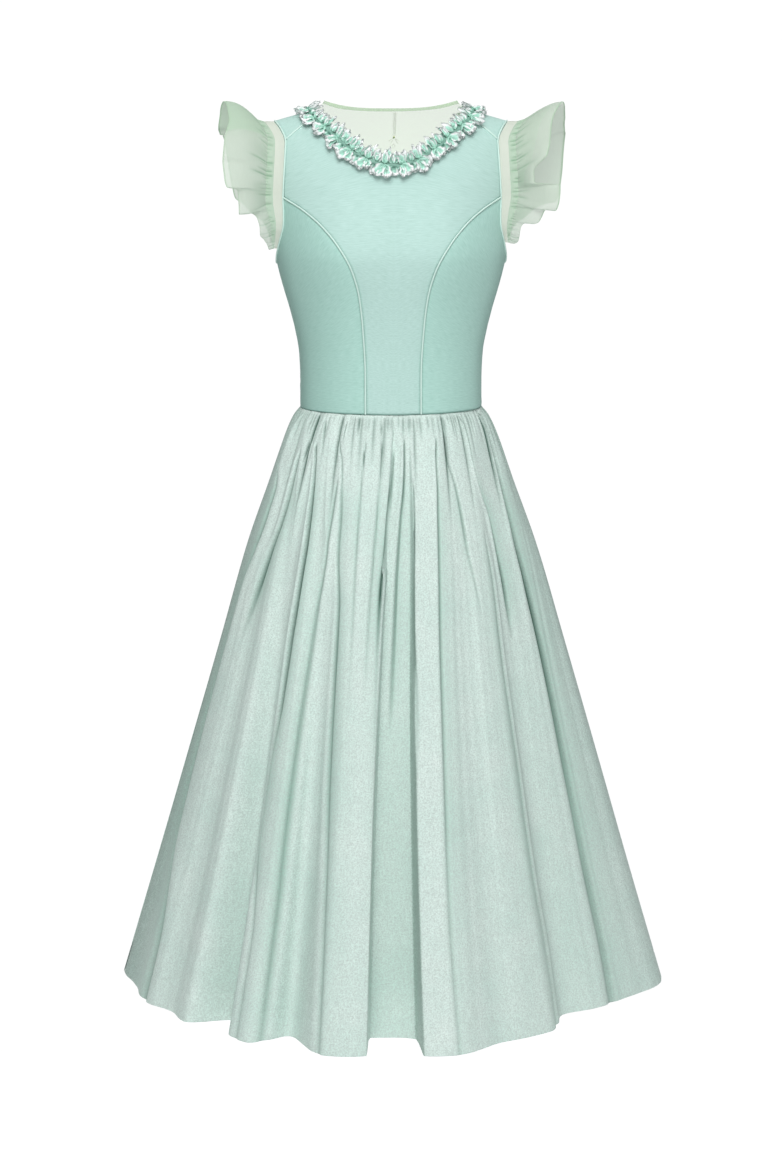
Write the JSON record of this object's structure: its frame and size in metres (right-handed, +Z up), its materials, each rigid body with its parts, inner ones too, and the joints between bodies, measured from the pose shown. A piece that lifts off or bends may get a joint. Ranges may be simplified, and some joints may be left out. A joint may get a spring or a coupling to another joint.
{
  "type": "dirndl dress",
  "caption": "Dirndl with a fitted princess-seam bodice, sheer back yoke, ruched neckline, flutter sleeves and a full gathered skirt.",
  "frame": {"origin": "on the centre line between the shoulders, at the height where the straps lie on them, level with the middle of the armholes from front to back", "axes": "+Z up, -Y out of the front of the dress, +X to the wearer's left"},
  "size_m": [0.7867, 0.7025, 1.2672],
  "materials": {
    "bodice_cloth": "smooth mint cloth with a fine slub",
    "side_cloth": "the bodice's cloth, a shade deeper on the side panels",
    "skirt_cloth": "pale mint cloth with a silvery velvet nap",
    "organza": "sheer pale green organza, one layer",
    "casing_organza": "the same organza gathered over elastic",
    "piping": "narrow satin piping, paler than the cloth",
    "ribbon": "mint ribbon with silvery edges, pinched into a ruche"
  },
  "bodies": {
    "root": {"bodice_front_center": "bodice_cloth", "bodice_back_left": "bodice_cloth", "bodice_back_right": "bodice_cloth", "bodice_front_side_left": "side_cloth", "bodice_front_side_right": "side_cloth", "bodice_back_side_left": "side_cloth", "bodice_back_side_right": "side_cloth", "neck_yoke": "organza", "neck_ruche": "ribbon", "piping_princess_front_left": "piping", "piping_princess_front_right": "piping", "piping_princess_back_left": "piping", "piping_princess_back_right": "piping", "piping_shoulder_left": "piping", "piping_shoulder_right": "piping", "piping_armhole_left": "piping", "piping_armhole_right": "piping", "sleeve_band_left": "organza", "sleeve_band_right": "organza", "sleeve_casing_left": "casing_organza", "sleeve_casing_right": "casing_organza", "sleeve_frill_left": "organza", "sleeve_frill_right": "organza", "skirt_front": "skirt_cloth", "skirt_back": "skirt_cloth"}
  },
  "joints": []
}
